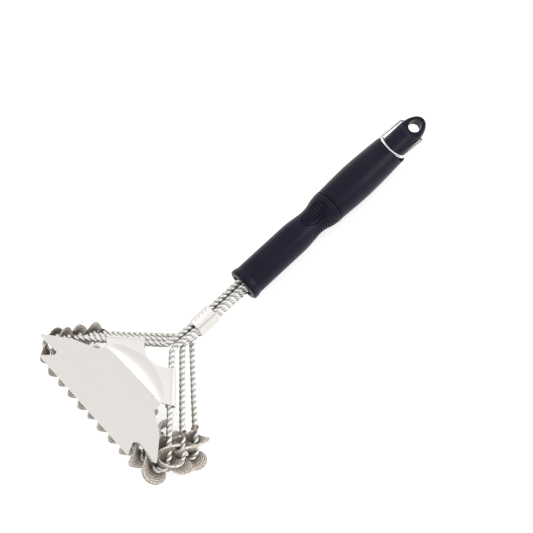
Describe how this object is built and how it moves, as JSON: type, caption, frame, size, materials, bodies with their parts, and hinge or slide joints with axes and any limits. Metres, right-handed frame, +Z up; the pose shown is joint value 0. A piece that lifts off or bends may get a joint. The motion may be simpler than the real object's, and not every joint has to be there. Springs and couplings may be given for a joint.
{
  "type": "grill cleaning brush",
  "caption": "Long-handled grill cleaning brush with stacked wire loops carrying bristle-free scrub coils, a pronged sheet scraper, a moulded handle and a swinging hang ring.",
  "frame": {"origin": "centre of the foot of the whole brush's box, on the surface it lies on", "axes": "+Y along the handle from the scraper to the hang eye, +X across the head to the right seen from above with the handle pointing away, +Z up from the surface the brush lies on"},
  "size_m": [0.198, 0.4604, 0.0779],
  "materials": {
    "loop_steel": "bright drawn stainless wire",
    "coil_steel": "fine stainless ribbon wound into lobes, warm grey",
    "sheet_steel": "bright brushed stainless sheet",
    "handle_plastic": "black satin moulded plastic",
    "ring_chrome": "polished",
    "hidden_plastic": "plain moulded"
  },
  "bodies": {
    "brush": {"front_wire_upper": "loop_steel", "front_wire_lower": "loop_steel", "middle_wire_upper": "loop_steel", "middle_wire_lower": "loop_steel", "rear_wire_upper": "loop_steel", "rear_wire_lower": "loop_steel", "front_scrub_coil": "coil_steel", "middle_scrub_coil": "coil_steel", "rear_scrub_coil": "coil_steel", "scraper": "sheet_steel", "ferrule": "sheet_steel", "front_grip": "handle_plastic", "rod_bushing": "hidden_plastic", "tail_sleeve": "loop_steel", "rear_grip": "handle_plastic", "end_cap": "handle_plastic"},
    "ring": {"hang_ring": "ring_chrome"}
  },
  "joints": [
    {"name": "ring_swing", "type": "hinge", "parent": "brush", "child": "ring", "pos_m": [-0.00073, 0.2127, 0.01793], "axis": [-0.9511, 0.0071, 0.3089], "range_deg": [0, 310]}
  ]
}
